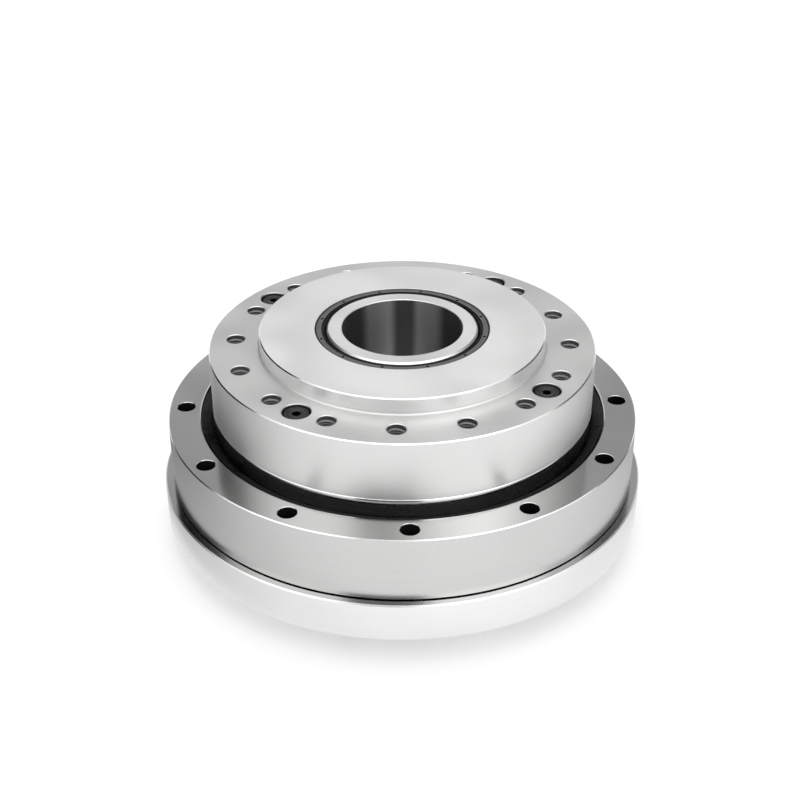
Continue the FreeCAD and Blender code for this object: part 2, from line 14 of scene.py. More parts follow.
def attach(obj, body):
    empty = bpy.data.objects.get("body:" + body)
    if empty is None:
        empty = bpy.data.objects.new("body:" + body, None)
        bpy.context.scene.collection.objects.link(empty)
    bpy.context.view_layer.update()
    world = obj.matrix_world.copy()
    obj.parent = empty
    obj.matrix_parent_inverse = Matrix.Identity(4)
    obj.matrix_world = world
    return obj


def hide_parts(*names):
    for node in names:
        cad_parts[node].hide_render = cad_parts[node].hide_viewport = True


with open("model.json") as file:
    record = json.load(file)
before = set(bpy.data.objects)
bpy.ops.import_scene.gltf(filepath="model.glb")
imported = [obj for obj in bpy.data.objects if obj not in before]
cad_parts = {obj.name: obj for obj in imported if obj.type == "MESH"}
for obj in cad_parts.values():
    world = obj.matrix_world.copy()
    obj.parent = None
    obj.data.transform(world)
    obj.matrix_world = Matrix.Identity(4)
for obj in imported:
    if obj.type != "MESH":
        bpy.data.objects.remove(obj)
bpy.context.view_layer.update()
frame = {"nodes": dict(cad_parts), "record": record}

METRES = 0.001
FULL_TURN = 2 * math.pi
SPIN_STEPS, HELIX_STEPS = 240, 20
WELD_REACH = 0.001
SHARP_ANGLE = math.radians(28)

# How far a cutter runs past a surface, and how close a face's middle is to a size that it belongs to
OVER, NEAR, TOUCHING = 1, 0.1, 0.01

# Rear cover
COVER_R, COVER_T, COVER_EDGE = 73.5, 12.0, 0.4
COVER_RECESS_R, COVER_FLOOR, COVER_RELIEF = 70.0, 9.0, 8.0
DIAPHRAGM_R, HUB_R = 48.0, 33.0
BEARING_SEAT_R, SEAL_SEAT_R = 29.01, 26.01
REAR_BEARING_FOOT, REAR_BEARING_TOP = 4.5, 11.5

# Outer ring and its through holes
RING_R, RING_TOP, RING_EDGE = 71.0, 32.0, 0.28
RING_GAP, RING_GAP_DEPTH = 0.4, 1.2
RING_BORE_R, RUBBER_SEAT_R, RUBBER_FOOT = 57.5, 61.4, 25.5
RACE_R, RACE_REACH, RACE_HALF, RACE_HEIGHT = 57.0, 4.271, 3.771, 19.0
HOUSING_PITCH_R, HOUSING_HOLE_R, HOUSING_HOLE_EDGE, HOUSING_HOLES = 66.0, 2.75, 0.12, 12
PLUG_R, PLUG_ANGLE, PLUG_GAP, PLUG_ROD = 4.0, 105.0, 0.04, 30

# Output flange
OUTPUT_R, OUTPUT_FACE, OUTPUT_EDGE = 57.5, 53.5, 0.32
TRACK_TOP, TRACK_GROOVE = 35.4, 0.15
SPLINE_FOOT, SPLINE_TOP, SKIRT_R = 26.0, 40.0, 54.0
HUB_BORE_R, WEB_FOOT, FRONT_BEARING_TOP = 42.36, 42.0, 51.0
BOSS_R, BOSS_TOP, BOSS_EDGE, BOSS_BORE_EDGE = 42.5, 58.5, 0.3, 0.1
BOSS_FILLET, FILLET_STEPS = 0.8, 6
OUTPUT_PITCH_R, THREADS, THREAD_FIRST = 50.0, 16, -3.55
THREAD_R, THREAD_CORE_R, THREAD_PITCH, THREAD_FLOOR = 2.72, 2.25, 0.8, 42.5
THREAD_MOUTH_R, THREAD_MOUTH_DEPTH = 3.0, 0.4
THREAD_RIDGE_SHARE, THREAD_RIDGE_BITE = 0.42, 0.03
SCREWS, SCREW_FIRST = 4, -37.3
COUNTERBORE_R, COUNTERBORE_FLOOR, COUNTERBORE_EDGE, SCREW_HOLE_R = 4.1, 48.9, 0.22, 2.3

# Input shaft
BORE_R, JOURNAL_R, SHOULDER_R = 18.0, 22.5, 23.5
SHAFT_TAIL, SHAFT_EDGE, BORE_EDGE = -7.0, 0.5, 0.15
CAM_R, CAM_WAVE, CAM_FOOT, CAM_TOP = 27.85, 0.8, 28.0, 38.0
SHOULDER_FOOT, SHOULDER_TOP = 11.5, 44.0
INPUT_THREADS, INPUT_THREAD_R, INPUT_THREAD_DEPTH = 6, 1.25, 8.0

# Seals
RUBBER_FACE, RUBBER_LIP_R = 31.5, 57.6
RIDGE_HEIGHT, RIDGE_STEP, RIDGE_FALL = 0.3, 0.55, 0.42
NOTCHES, NOTCH_R, NOTCH_SIZE = (-178.2, -13.25), 59.8, (1.7, 0.35, 1.4)
SHAFT_SEAL_R, SHAFT_SEAL_FACE, SHAFT_SEAL_FOOT = 26.0, 58.2, 53.6
REAR_SEAL_FACE, REAR_SEAL_TOP = 0.0, 4.0
SHAFT_LIP_R, SHAFT_SEAL_BAND_R = 22.6, 24.05
SEAL_DIMPLES, SEAL_DIMPLE_FIRST, SEAL_DIMPLE_PITCH_R, SEAL_DIMPLE_R = 12, 15.0, 24.75, 0.45

# Screws: shares of the thread's size, and the head's face as (share of its radius, depth)
HEAD_SHARE, HEAD_EDGE_SHARE, SOCKET_SHARE, SOCKET_DEPTH_SHARE = 0.94, 0.09, 0.3, 0.55
HEAD_FACE = ((0.78, 0), (0.74, 0.1), (0.66, 0.1), (0.62, 0), (0.5, 0), (0.42, 0.12), (0, 0.12))
HEAD_STEPS, KNURL_STEP, KNURL_SHARE = 72, 5, 0.965
OUTPUT_SCREW_SIZE, OUTPUT_SCREW_TIP = 4.0, 18.9
COVER_SCREWS, COVER_SCREW_FIRST, COVER_SCREW_SIZE = 6, 15.0, 3.0
COVER_SCREW_SEAT, COVER_SCREW_TIP, COVER_POCKET_R, COVER_SCREW_HOLE_R = 3.3, 20.0, 3.0, 1.8


def turned(outline, steps=SPIN_STEPS):
    """Mesh spun about Z from the corners of a closed outline, as (radius, height)."""
    shape = bmesh.new()
    corners = [shape.verts.new((r, 0, z)) for r, z in outline]
    sides = [shape.edges.new((corners[k - 1], corners[k])) for k in range(len(corners))]
    bmesh.ops.spin(
        shape, geom=corners + sides, axis=(0, 0, 1), angle=FULL_TURN, steps=steps, use_merge=True,
    )
    bmesh.ops.remove_doubles(shape, verts=shape.verts, dist=WELD_REACH)
    bmesh.ops.recalc_face_normals(shape, faces=shape.faces)
    return shape


def rod(radius, foot, top, at=(0, 0), segments=48, top_radius=None):
    """Closed upright cylinder or cone."""
    shape = bmesh.new()
    bmesh.ops.create_cone(
        shape, cap_ends=True, segments=segments, radius1=radius,
        radius2=radius if top_radius is None else top_radius, depth=top - foot,
        matrix=Matrix.Translation((at[0], at[1], (foot + top) / 2)),
    )
    return shape


def on_circle(radius, degrees):
    """Point on a circle about the axis."""
    turn = math.radians(degrees)
    return radius * math.cos(turn), radius * math.sin(turn)


def joined(shapes):
    """One mesh from several, which are used up."""
    whole = bmesh.new()
    for shape in shapes:
        part = bpy.data.meshes.new("part")
        shape.to_mesh(part)
        shape.free()
        whole.from_mesh(part)
        bpy.data.meshes.remove(part)
    return whole


def around(make, count, first, radius):
    """The pieces that make(x, y) gives at equal steps of a circle."""
    return [make(*on_circle(radius, first + 360 * k / count)) for k in range(count)]


def as_object(name, shape):
    """Blender object of a mesh, which is used up."""
    mesh = bpy.data.meshes.new(name)
    shape.to_mesh(mesh)
    shape.free()
    piece = bpy.data.objects.new(name, mesh)
    bpy.context.scene.collection.objects.link(piece)
    return piece


def bored(shape, tools, operation="DIFFERENCE"):
    """A mesh with the tools' closed meshes cut out of it, or the part that it shares with them."""
    body = as_object("body", shape)
    for tool_shape in tools:
        tool = as_object("tool", tool_shape)
        cut = body.modifiers.new("cut", "BOOLEAN")
        cut.operation = operation
        cut.solver = "EXACT"
        cut.object = tool
        shown = body.evaluated_get(bpy.context.evaluated_depsgraph_get())
        mesh = bpy.data.meshes.new_from_object(shown)
        body.modifiers.clear()
        body.data = mesh
        bpy.data.objects.remove(tool)
    result = bmesh.new()
    result.from_mesh(body.data)
    bpy.data.objects.remove(body)
    return result


def helix(base_r, tip_r, pitch, foot, top, at):
    """Ridge of a screw thread, a closed triangle swept up round an upright line."""
    shape = bmesh.new()
    turns = int((top - foot) / pitch) - 1
    half = THREAD_RIDGE_SHARE * pitch
    corners = [
        shape.verts.new((at[0] + base_r, at[1], foot)),
        shape.verts.new((at[0] + base_r, at[1], foot + 2 * half)),
        shape.verts.new((at[0] + tip_r, at[1], foot + half)),
    ]
    cap = shape.faces.new(corners)
    swept = bmesh.ops.spin(
        shape, geom=corners + list(cap.edges), cent=(at[0], at[1], 0), axis=(0, 0, 1),
        dvec=(0, 0, pitch / HELIX_STEPS), angle=FULL_TURN * turns, steps=HELIX_STEPS * turns,
    )
    ends = [part for part in swept["geom_last"] if isinstance(part, bmesh.types.BMVert)]
    shape.faces.new(ends)
    bmesh.ops.recalc_face_normals(shape, faces=shape.faces)
    return shape


def dressed(shape, index, belongs):
    """Gives the faces whose middle (radius, height) and normal belong the material of that index."""
    for face in shape.faces:
        middle = face.calc_center_median()
        if belongs(math.hypot(middle.x, middle.y), middle.z, face.normal):
            face.material_index = index


def upright(normal):
    """Whether a face stands along the axis."""
    return abs(normal.z) < 0.1


def sloped(normal):
    """Whether a face is a break of an upper edge."""
    return 0.5 < normal.z < 0.9


def finished(name, shape, materials, body, slot, *nodes):
    """Piece with its place in its mesh, in metres, that rides on a body and may stand for CAD nodes."""
    bmesh.ops.scale(shape, vec=(METRES,) * 3, verts=shape.verts)
    for face in shape.faces:
        face.smooth = True
    for edge in shape.edges:
        edge.smooth = len(edge.link_faces) == 2 and edge.calc_face_angle() < SHARP_ANGLE
    piece = as_object(name, shape)
    for material in materials:
        piece.data.materials.append(material)
    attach(piece, body)
    if nodes:
        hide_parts(*nodes)


# Materials

ACROSS_THE_MARKS = 0.25
CLOUD_SCALE, MARK_DEPTH = 38.0, 0.00003
GRAIN_SCALE, GRAIN_STRENGTH, GRAIN_DEPTH, FILM_SCALE = 2500.0, 0.15, 0.00005, 120.0
# Bands of painted reflection in the bore: their stretch, scale and phase
BAND_STRETCH, BAND_SCALE, BAND_PHASE = (1, 1, 0.04), 20.5, -0.16


def node(tree, kind, **settings):
    """New shader node; a setting is a property of it, or else the value of the input of that name."""
    made = tree.nodes.new(kind)
    for name, value in settings.items():
        if hasattr(made, name):
            setattr(made, name, value)
        else:
            made.inputs[name.replace("_", " ").title()].default_value = value
    return made


def new_material(name):
    """Material with an empty Principled shader; returns the material, its tree and the shader."""
    material = bpy.data.materials.new(name)
    material.use_nodes = True
    tree = material.node_tree
    return material, tree, tree.nodes["Principled BSDF"]


def lathe_coordinates(tree):
    """Distance from the axis and height, as one vector, so that a pattern runs round the piece."""
    place = node(tree, "ShaderNodeTexCoord")
    split = node(tree, "ShaderNodeSeparateXYZ")
    flat = node(tree, "ShaderNodeCombineXYZ")
    radius = node(tree, "ShaderNodeVectorMath", operation="LENGTH")
    both = node(tree, "ShaderNodeCombineXYZ")
    tree.links.new(place.outputs["Object"], split.inputs[0])
    tree.links.new(split.outputs["X"], flat.inputs["X"])
    tree.links.new(split.outputs["Y"], flat.inputs["Y"])
    tree.links.new(flat.outputs[0], radius.inputs[0])
    tree.links.new(radius.outputs["Value"], both.inputs["X"])
    tree.links.new(split.outputs["Z"], both.inputs["Y"])
    return place.outputs["Object"], both.outputs[0]


def spread(tree, value, low, high, start=0.3, end=0.7):
    """A texture's value, mapped to a range with soft ends."""
    mapped = node(tree, "ShaderNodeMapRange", interpolation_type="SMOOTHSTEP")
    mapped.inputs["From Min"].default_value = start
    mapped.inputs["From Max"].default_value = end
    mapped.inputs["To Min"].default_value = low
    mapped.inputs["To Max"].default_value = high
    tree.links.new(value, mapped.inputs["Value"])
    return mapped.outputs["Result"]


def steel(name, colour, roughness, lines=3200, relief=0.05, smudge=0.05, tint=0.08, anisotropy=0.0):
    """Machined steel: fine turning marks round the axis, and a faint smudge in its gloss and tone."""
    material, tree, shader = new_material(name)
    place, lathe = lathe_coordinates(tree)
    marks = node(tree, "ShaderNodeTexNoise", scale=lines, detail=2.0)
    cloud = node(tree, "ShaderNodeTexNoise", scale=CLOUD_SCALE, detail=1.0)
    tree.links.new(lathe, marks.inputs["Vector"])
    tree.links.new(place, cloud.inputs["Vector"])
    bump = node(tree, "ShaderNodeBump", strength=relief, distance=MARK_DEPTH)
    tree.links.new(marks.outputs["Fac"], bump.inputs["Height"])
    tree.links.new(bump.outputs["Normal"], shader.inputs["Normal"])
    gloss = spread(tree, cloud.outputs["Fac"], roughness - smudge, roughness + smudge)
    tree.links.new(gloss, shader.inputs["Roughness"])
    tone = node(tree, "ShaderNodeMix", data_type="RGBA")
    tone.inputs["A"].default_value = (*[c * (1 - tint) for c in colour], 1)
    tone.inputs["B"].default_value = (*colour, 1)
    wear = node(tree, "ShaderNodeMix", data_type="FLOAT")
    wear.inputs["Factor"].default_value = 0.5
    tree.links.new(marks.outputs["Fac"], wear.inputs["A"])
    tree.links.new(spread(tree, cloud.outputs["Fac"], 0.0, 1.0), wear.inputs["B"])
    tree.links.new(wear.outputs["Result"], tone.inputs["Factor"])
    tree.links.new(tone.outputs["Result"], shader.inputs["Base Color"])
    shader.inputs["Metallic"].default_value = 1.0
    shader.inputs["Anisotropic"].default_value = anisotropy
    if anisotropy:
        along = node(tree, "ShaderNodeTangent", direction_type="RADIAL", axis="Z")
        tree.links.new(along.outputs[0], shader.inputs["Tangent"])
        shader.inputs["Anisotropic Rotation"].default_value = ACROSS_THE_MARKS
    return material


def banded_reflection_steel(name, dark, light, roughness):
    """Bore surface with painted reflections: soft bands along the axis, between two greys."""
    material, tree, shader = new_material(name)
    place = node(tree, "ShaderNodeTexCoord")
    stretch = node(tree, "ShaderNodeMapping")
    stretch.inputs["Scale"].default_value = BAND_STRETCH
    bands = node(
        tree, "ShaderNodeTexWave", bands_direction="X", scale=BAND_SCALE, distortion=1.4, detail=1.0,
        detail_scale=6.0, phase_offset=BAND_PHASE,
    )
    tree.links.new(place.outputs["Object"], stretch.inputs["Vector"])
    tree.links.new(stretch.outputs[0], bands.inputs["Vector"])
    tone = node(tree, "ShaderNodeMix", data_type="RGBA")
    tone.inputs["A"].default_value = (dark, dark, dark, 1)
    tone.inputs["B"].default_value = (light, light, light, 1)
    tree.links.new(spread(tree, bands.outputs["Fac"], 0.0, 1.0, 0.1, 0.9), tone.inputs["Factor"])
    tree.links.new(tone.outputs["Result"], shader.inputs["Base Color"])
    shader.inputs["Metallic"].default_value = 1.0
    shader.inputs["Roughness"].default_value = roughness
    return material


def rubber(name, colour, roughness):
    """Moulded rubber with a fine grain and a slight oily gloss."""
    material, tree, shader = new_material(name)
    place = node(tree, "ShaderNodeTexCoord")
    grain = node(tree, "ShaderNodeTexNoise", scale=GRAIN_SCALE, detail=3.0)
    film = node(tree, "ShaderNodeTexNoise", scale=FILM_SCALE, detail=3.0)
    tree.links.new(place.outputs["Object"], grain.inputs["Vector"])
    tree.links.new(place.outputs["Object"], film.inputs["Vector"])
    bump = node(tree, "ShaderNodeBump", strength=GRAIN_STRENGTH, distance=GRAIN_DEPTH)
    tree.links.new(grain.outputs["Fac"], bump.inputs["Height"])
    tree.links.new(bump.outputs["Normal"], shader.inputs["Normal"])
    gloss = spread(tree, film.outputs["Fac"], roughness - 0.1, roughness + 0.12)
    tree.links.new(gloss, shader.inputs["Roughness"])
    shader.inputs["Specular IOR Level"].default_value = 0.2
    tone = node(tree, "ShaderNodeMix", data_type="RGBA")
    tone.inputs["A"].default_value = (*[c * 0.6 for c in colour], 1)
    tone.inputs["B"].default_value = (*colour, 1)
    tree.links.new(film.outputs["Fac"], tone.inputs["Factor"])
    tree.links.new(tone.outputs["Result"], shader.inputs["Base Color"])
    return material


boss_steel = steel("boss_steel", (0.75, 0.75, 0.745), 0.48, lines=2600, relief=0.08)
# Painted light: a lighter copy of the boss steel for the boss's side
boss_side_lit_steel = steel("boss_side_lit_steel", (0.92, 0.92, 0.915), 0.5, lines=2600, relief=0.08)
# Painted shade: a darker copy of the flange's steel for its face round the boss
face_shade_steel = steel("face_shade_steel", (0.62, 0.62, 0.615), 0.42, lines=2600, relief=0.08, anisotropy=0.1)
# Painted light: a lighter copy of the ground steel for the rear cover, with coarser turning marks; its
# ledge keeps the ground steel
cover_lit_steel = steel("cover_lit_steel", (0.82, 0.82, 0.815), 0.3, lines=900, smudge=0.02, anisotropy=0.2)
flange_steel = steel("flange_steel", (0.73, 0.73, 0.725), 0.43, lines=3600, anisotropy=0.29)
ground_steel = steel("ground_steel", (0.72, 0.72, 0.715), 0.13, lines=5200, relief=0.04, smudge=0.03)
shaft_steel = steel("shaft_steel", (0.88, 0.88, 0.875), 0.34, lines=3800, tint=0.1)
track_steel = steel("track_steel", (0.74, 0.74, 0.735), 0.1, lines=5200, relief=0.03, smudge=0.02)
# Painted highlight: a brighter, glossier steel for the breaks of the top edges, so they glint
edge_glint_steel = steel("edge_glint_steel", (0.92, 0.92, 0.915), 0.2, relief=0.02, smudge=0.02, tint=0.02)
# Painted shade: a darker copy of the ground steel for the outer ring's side, and for the plug in it
ring_side_shade_steel = steel(
    "ring_side_shade_steel", (0.59, 0.59, 0.585), 0.26, lines=900, smudge=0.02, anisotropy=0.5,
)
# Painted reflections: soft dark and light bands in the bore, which turn with the shaft
bore_reflection_steel = banded_reflection_steel("bore_reflection_steel", 0.2, 0.95, 0.37)
# Painted shade: a dark steel for the counterbores and the upper walls of the holes in the flange
hole_shade_steel = steel("hole_shade_steel", (0.22, 0.22, 0.22), 0.5, lines=1500, relief=0.4)
# Painted shade: a darker steel for the threaded holes' walls and ridges, deeper in the flange
thread_shade_steel = steel("thread_shade_steel", (0.27, 0.27, 0.265), 0.6, lines=1500, relief=0.3, tint=0.3)
# Painted shade: a near-black steel for the bolt holes through the ring and the groove where the ring
# meets the cover
hole_and_gap_shade = steel("hole_and_gap_shade", (0.05, 0.05, 0.05), 0.5, lines=1500)
gear_steel = steel("gear_steel", (0.56, 0.56, 0.55), 0.32, relief=0.1)
polished_steel = steel("polished_steel", (0.78, 0.78, 0.78), 0.12, relief=0.02, smudge=0.03)
black_oxide = steel("black_oxide", (0.06, 0.06, 0.063), 0.36, relief=0.15, tint=0.4)
black_rubber = rubber("black_rubber", (0.004, 0.004, 0.004), 0.3)
grey_rubber = rubber("grey_rubber", (0.12, 0.12, 0.12), 0.34)
cage_polyamide = rubber("cage_polyamide", (0.80, 0.76, 0.62), 0.45)

NODE_FINISH = {
    "ground_steel": ground_steel, "shaft_steel": shaft_steel, "gear_steel": gear_steel,
    "bearing_steel": polished_steel, "black_oxide_steel": black_oxide, "black_rubber": black_rubber,
    "cage_polyamide": cage_polyamide,
}
for row in frame["record"]["subparts"]:
    slots = frame["nodes"][row["node"]].material_slots
    for index in range(len(slots)):
        slots[index].material = NODE_FINISH[row["material_slot"]]


# Camera, lights and stage

CAMERA_ELEVATION, CAMERA_AZIMUTH = math.radians(31.05), math.radians(-91.75)
CAMERA_DISTANCE, CAMERA_TARGET = 0.42941, Vector((0, 0, 0.028))
SENSOR, PICTURE_PIXELS, FOCAL_PIXELS, SHIFT_PIXELS = 36, 800, 1392.6, (-2.3, 14.58)

camera = bpy.data.objects.new("camera", bpy.data.cameras.new("camera"))
bpy.context.scene.collection.objects.link(camera)
bpy.context.scene.camera = camera
camera.data.lens = FOCAL_PIXELS / PICTURE_PIXELS * SENSOR
camera.data.sensor_width = SENSOR
camera.data.shift_x = SHIFT_PIXELS[0] / PICTURE_PIXELS
camera.data.shift_y = SHIFT_PIXELS[1] / PICTURE_PIXELS
camera.data.clip_start = 0.01
bpy.context.scene.view_settings.view_transform = "Standard"
away = Vector((
    math.cos(CAMERA_ELEVATION) * math.cos(CAMERA_AZIMUTH),
    math.cos(CAMERA_ELEVATION) * math.sin(CAMERA_AZIMUTH),
    math.sin(CAMERA_ELEVATION),
))
camera.location = CAMERA_TARGET + away * CAMERA_DISTANCE
camera.rotation_euler = (-away).to_track_quat("-Z", "Y").to_euler()


LAMP_TARGET = Vector((0, 0, 0.03))


def soft_light(name, at, size, power):
    """Large square lamp that faces the object."""
    lamp = bpy.data.objects.new(name, bpy.data.lights.new(name, "AREA"))
    bpy.context.scene.collection.objects.link(lamp)
    lamp.data.size = size
    lamp.data.energy = power
    lamp.location = at
    lamp.rotation_euler = (LAMP_TARGET - Vector(at)).to_track_quat("-Z", "Y").to_euler()


CARD_STEPS = 96
CARD_SHADE_WAY, CARD_SHADE_REACH = (0.25, -0.97, 0.0), (-0.08, 0.13)


def studio_card(name, start, end, foot, top, level, front_level=None):
    """Curved grey card that only reflections show, between two angles about the axis.

    Its two edges are given as (radius, height). With a front level its grey changes along the shade's
    way, from the back towards the right of the front.
    """
    card = bmesh.new()
    corners = [card.verts.new((*on_circle(radius, start), z)) for radius, z in (foot, top)]
    edge = card.edges.new(corners)
    span = math.radians(end - start)
    bmesh.ops.spin(card, geom=corners + [edge], axis=(0, 0, 1), angle=span, steps=CARD_STEPS)
    piece = as_object(name, card)
    material, tree, shader = new_material(name)
    shader.inputs["Base Color"].default_value = (0, 0, 0, 1)
    shader.inputs["Specular IOR Level"].default_value = 0.0
    shader.inputs["Emission Color"].default_value = (1, 1, 1, 1)
    shader.inputs["Emission Strength"].default_value = level
    if front_level is not None:
        place = node(tree, "ShaderNodeTexCoord")
        along = node(tree, "ShaderNodeVectorMath", operation="DOT_PRODUCT")
        along.inputs[1].default_value = CARD_SHADE_WAY
        tree.links.new(place.outputs["Object"], along.inputs[0])
        grey = spread(tree, along.outputs["Value"], level, front_level, *CARD_SHADE_REACH)
        tree.links.new(grey, shader.inputs["Emission Strength"])
    piece.data.materials.append(material)
    piece.visible_camera = False
    piece.visible_diffuse = False
    piece.visible_shadow = False


# Azimuth straight behind the object, as the camera sees it
BACK = 88.25

soft_light("top_light", (0.0, 0.3, 1.2), 1.0, 5.0)
soft_light("front_light", (0.0, -0.75, 1.1), 0.8, 2.0)
studio_card("back_left_card", BACK + 27, BACK + 87, (0.9, 0.12), (0.9, 0.95), 0.0)
studio_card("back_card", BACK - 30, BACK + 24, (0.9, 0.46), (0.9, 0.85), 0.37)
studio_card("back_right_card", BACK - 82, BACK - 30, (0.9, 0.15), (0.9, 0.9), 0.11)
studio_card("front_left_card", BACK + 105, BACK + 153, (0.95, 0.35), (0.5, 1.0), 1.6)
studio_card("front_card", BACK + 153, BACK + 192, (0.95, 0.2), (0.62, 0.8), 0.1)
studio_card("front_right_card", BACK + 192, BACK + 250, (0.95, 0.35), (0.5, 1.0), 2.0)
studio_card("floor_card", BACK + 15, BACK + 345, (0.081, -0.006), (0.3, -0.006), 0.3, 1.22)

WORLD_LEVEL, BACKGROUND_LEVEL = 0.8, 1.0
world = bpy.data.worlds.new("studio")
bpy.context.scene.world = world
world.use_nodes = True
sky = world.node_tree.nodes["Background"]
sky.inputs["Color"].default_value = (1, 1, 1, 1)


def shown_rays(tree):
    """One for a ray from the camera or from a reflection, and nought for light on the object."""
    rays = node(tree, "ShaderNodeLightPath")
    seen = rays.outputs["Is Camera Ray"]
    for kind in ("Is Glossy Ray", "Is Transmission Ray"):
        either = node(tree, "ShaderNodeMath", operation="MAXIMUM")
        tree.links.new(seen, either.inputs[0])
        tree.links.new(rays.outputs[kind], either.inputs[1])
        seen = either.outputs[0]
    return seen


sky_level = spread(world.node_tree, shown_rays(world.node_tree), WORLD_LEVEL, BACKGROUND_LEVEL, 0, 1)
world.node_tree.links.new(sky_level, sky.inputs["Strength"])

FLOOR_SIZE, FLOOR_GREY, FLOOR_ROUGHNESS, FLOOR_GLOW = 40.0, 0.6, 0.7, 0.42
floor_shape = bmesh.new()
bmesh.ops.create_grid(
    floor_shape, x_segments=1, y_segments=1, size=FLOOR_SIZE,
    matrix=Matrix.Translation((0, 0, SHAFT_TAIL * METRES)),
)
floor = as_object("floor", floor_shape)
floor_material, floor_tree, floor_shader = new_material("white_floor")
floor_shader.inputs["Base Color"].default_value = (FLOOR_GREY, FLOOR_GREY, FLOOR_GREY, 1)
floor_shader.inputs["Roughness"].default_value = FLOOR_ROUGHNESS
floor_shader.inputs["Emission Color"].default_value = (1, 1, 1, 1)
glow = spread(floor_tree, shown_rays(floor_tree), 0.0, FLOOR_GLOW, 0, 1)
floor_tree.links.new(glow, floor_shader.inputs["Emission Strength"])
floor.data.materials.append(floor_material)


# Pieces of the housing

def housing_bore(x, y):
    """Through hole for one housing bolt, in ring and cover."""
    return rod(HOUSING_HOLE_R, -OVER, RING_TOP + OVER, (x, y))


def cover_screw_bore(x, y):
    """Hole for the shank of one cover screw, up into the ring."""
    return rod(COVER_SCREW_HOLE_R, -OVER, COVER_SCREW_TIP + OVER, (x, y), 24)


def ring_outline():
    """Corners of the outer ring's section."""
    return [
        (RING_BORE_R, COVER_T),
        (RING_R - RING_GAP_DEPTH, COVER_T),
        (RING_R - RING_GAP_DEPTH, COVER_T + RING_GAP),
        (RING_R, COVER_T + RING_GAP),
        (RING_R, RING_TOP - RING_EDGE),
        (RING_R - RING_EDGE, RING_TOP),
        (RUBBER_SEAT_R + RING_EDGE, RING_TOP),
        (RUBBER_SEAT_R, RING_TOP - RING_EDGE),
        (RUBBER_SEAT_R, RUBBER_FOOT),
        (RING_BORE_R, RUBBER_FOOT),
        (RING_BORE_R, RACE_HEIGHT + RACE_HALF),
        (RACE_R + RACE_REACH, RACE_HEIGHT),
        (RING_BORE_R, RACE_HEIGHT - RACE_HALF),
    ]


def plug_rod(gap):
    """Radial rod at the place of the loading plug, with a gap round it."""
    shape = bmesh.new()
    out = Matrix.Translation((RING_R, 0, RACE_HEIGHT))
    lying = Matrix.Rotation(math.pi / 2, 4, "Y")
    bmesh.ops.create_cone(
        shape, cap_ends=True, segments=64, radius1=PLUG_R + gap, radius2=PLUG_R + gap, depth=PLUG_ROD,
        matrix=Matrix.Rotation(math.radians(PLUG_ANGLE), 4, "Z") @ out @ lying,
    )
    return shape


def make_outer_ring():
    """Outer ring of the crossed roller bearing, with the plug in its loading bore."""
    def mouth(x, y):
        wide, narrow = HOUSING_HOLE_R + 2 * HOUSING_HOLE_EDGE, HOUSING_HOLE_R - HOUSING_HOLE_EDGE
        foot, top = RING_TOP - 2 * HOUSING_HOLE_EDGE, RING_TOP + HOUSING_HOLE_EDGE
        return rod(narrow, foot, top, (x, y), 48, wide)

    tools = [
        joined(around(housing_bore, HOUSING_HOLES, 0, HOUSING_PITCH_R)),
        joined(around(mouth, HOUSING_HOLES, 0, HOUSING_PITCH_R)),
        joined(around(cover_screw_bore, COVER_SCREWS, COVER_SCREW_FIRST, HOUSING_PITCH_R)),
        plug_rod(PLUG_GAP),
    ]
    ring = bored(turned(ring_outline()), tools)
    hole, side, edge = 1, 2, 3
    # Painted shade: the bolt holes' walls take the near-black steel
    dressed(ring, hole, lambda radius, height, normal: (
        abs(radius - HOUSING_PITCH_R) < HOUSING_HOLE_R + NEAR and upright(normal)
    ))
    # Painted shade: the ring's foot outside the bolt circle, with the groove where it meets the cover,
    # takes the near-black steel too
    dressed(ring, hole, lambda radius, height, normal: (
        radius > HOUSING_PITCH_R and height < COVER_T + RING_GAP + NEAR
    ))
    # Painted shade: the ring's side takes the darker copy of its steel
    dressed(ring, side, lambda radius, height, normal: radius > RING_R - NEAR / 2)
    # Painted highlight: the break of the ring's top edge takes the brighter steel
    dressed(ring, edge, lambda radius, height, normal: radius > RING_R - RING_EDGE and sloped(normal))
    finished(
        "outer_ring", ring, [ground_steel, hole_and_gap_shade, ring_side_shade_steel, edge_glint_steel],
        "housing", "ground_steel", "bearing_outer_ring",
    )
    plug = bored(turned(ring_outline()), [plug_rod(0)], "INTERSECT")
    finished("ring_plug", plug, [ring_side_shade_steel], "housing", "ground_steel", "loading_plug")


